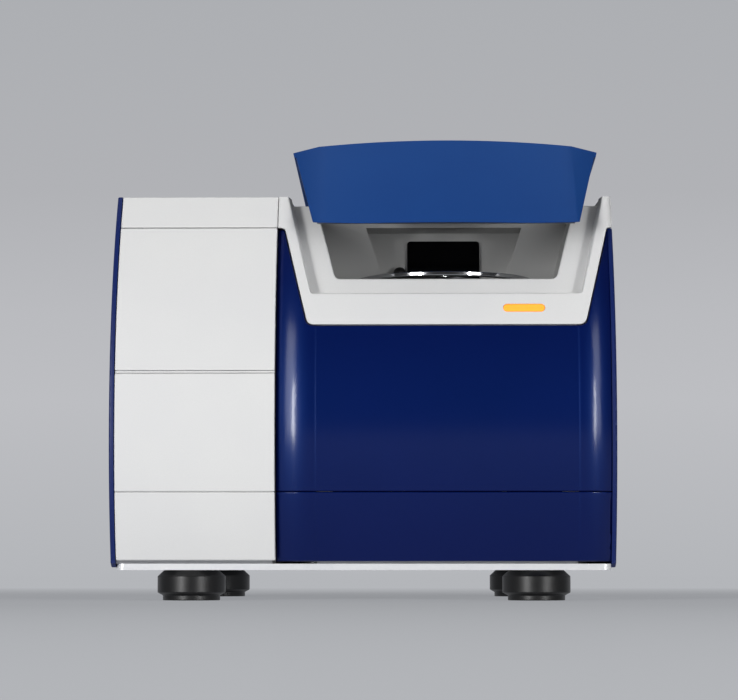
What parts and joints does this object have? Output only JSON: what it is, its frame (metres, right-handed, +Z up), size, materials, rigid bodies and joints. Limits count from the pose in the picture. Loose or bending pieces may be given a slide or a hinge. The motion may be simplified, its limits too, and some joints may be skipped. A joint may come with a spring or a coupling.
{
  "type": "near-infrared analyzer",
  "caption": "Benchtop near-infrared analyzer with a curved front, a raised hinged lid over a sample chamber, a gear-driven turntable and round feet.",
  "frame": {"origin": "on the bench under the middle of the whole instrument, lid raised", "axes": "+X to the right seen from the front, +Y to the back, +Z up"},
  "size_m": [0.375, 0.5007, 0.3478],
  "materials": {
    "blue_shell": "satin moulded plastic, deep blue",
    "blue_cover": "satin powder coat, deep blue",
    "blue_lid": "satin moulded plastic, blue",
    "white_shell": "fine-textured moulded plastic, off-white",
    "base_metal": "brushed sheet",
    "rear_metal": "powder coat, mid grey",
    "seat_plastic": "moulded plastic, light grey",
    "chamber_metal": "satin sheet steel",
    "black_window": "polished black filter plastic",
    "black_plastic": "moulded black plastic",
    "optical_glass": "polished flat glass",
    "table_black": "black anodised",
    "chrome_trim": "polished",
    "shaft_steel": "ground steel",
    "foot_rubber": "moulded rubber",
    "seal_rubber": "moulded rubber",
    "light_amber": "lit amber diffuser",
    "liner_plastic": "moulded plastic, grey",
    "frame_metal": "plain sheet",
    "cast_metal": "fine sand casting",
    "gear_plastic": "acetal",
    "gear_brass": "machined",
    "motor_metal": "black enamel",
    "board_green": "solder mask"
  },
  "bodies": {
    "housing": {"base_plate": "base_metal", "foot_1": "foot_rubber", "foot_2": "foot_rubber", "foot_3": "foot_rubber", "foot_4": "foot_rubber", "left_side_cover": "blue_cover", "right_side_cover": "blue_cover", "rear_panel": "rear_metal", "top_cover": "white_shell", "bay_wall": "frame_metal", "left_front_frame": "frame_metal", "right_front_frame": "frame_metal", "left_top_strip": "white_shell", "left_upper_panel": "white_shell", "left_trim_strip": "white_shell", "left_middle_panel": "white_shell", "left_kick_panel": "white_shell", "right_front_panel": "blue_shell", "right_kick_panel": "blue_shell", "front_bezel": "white_shell", "status_lens": "light_amber", "seat_flange": "seat_plastic", "chamber_tub": "chamber_metal", "chamber_recess": "chamber_metal", "sensor_window": "black_window", "cup_sensor": "black_plastic", "floor_window": "optical_glass", "window_ring": "shaft_steel", "spindle_bearing": "shaft_steel", "drive_motor": "motor_metal", "drive_plate": "frame_metal", "left_hinge_block": "cast_metal", "right_hinge_block": "cast_metal", "hinge_pin": "shaft_steel", "hinge_bridge": "frame_metal", "optical_bench": "cast_metal", "mirror_block": "cast_metal", "light_tube": "table_black", "monochromator_box": "cast_metal", "monochromator_cover": "table_black", "scan_motor": "motor_metal", "lamp_housing": "table_black", "power_supply": "frame_metal", "main_board": "board_green", "fan_frame": "black_plastic", "power_inlet": "black_plastic"},
    "lid": {"lid_shell": "blue_lid", "lid_liner": "liner_plastic", "lid_seal": "seal_rubber", "left_hinge_arm": "frame_metal", "right_hinge_arm": "frame_metal"},
    "turntable": {"turntable_disc": "table_black", "turntable_rim": "chrome_trim", "spindle": "chrome_trim", "ring_gear": "gear_plastic"},
    "drive_pinion": {"pinion": "gear_brass"},
    "grating": {"grating_mount": "shaft_steel"},
    "fan": {"fan_rotor": "black_plastic"},
    "power_switch": {"power_rocker": "black_plastic"}
  },
  "joints": [
    {"name": "lid_hinge", "type": "hinge", "parent": "housing", "child": "lid", "pos_m": [0.0617, 0.01, 0.2895], "axis": [1, 0, 0], "range_deg": [0, 11.5]},
    {"name": "turntable_spin", "type": "hinge", "parent": "housing", "child": "turntable", "pos_m": [0.0617, -0.138, 0.2464], "axis": [0, 0, 1], "continuous": true},
    {"name": "pinion_spin", "type": "hinge", "parent": "housing", "child": "drive_pinion", "pos_m": [0.1017, -0.138, 0.225], "axis": [0, 0, 1], "continuous": true},
    {"name": "grating_turn", "type": "hinge", "parent": "housing", "child": "grating", "pos_m": [0.06, 0.02, 0.11], "axis": [0, 0, 1], "range_deg": [-20, 20]},
    {"name": "fan_spin", "type": "hinge", "parent": "housing", "child": "fan", "pos_m": [0.11, 0.2317, 0.165], "axis": [0, 1, 0], "continuous": true},
    {"name": "power_switch_tilt", "type": "hinge", "parent": "housing", "child": "power_switch", "pos_m": [-0.13, 0.2427, 0.099], "axis": [1, 0, 0], "range_deg": [-24, 0]}
  ],
  "couplings": [
    {"joint": "pinion_spin", "follows": "turntable_spin", "ratio": -3}
  ]
}
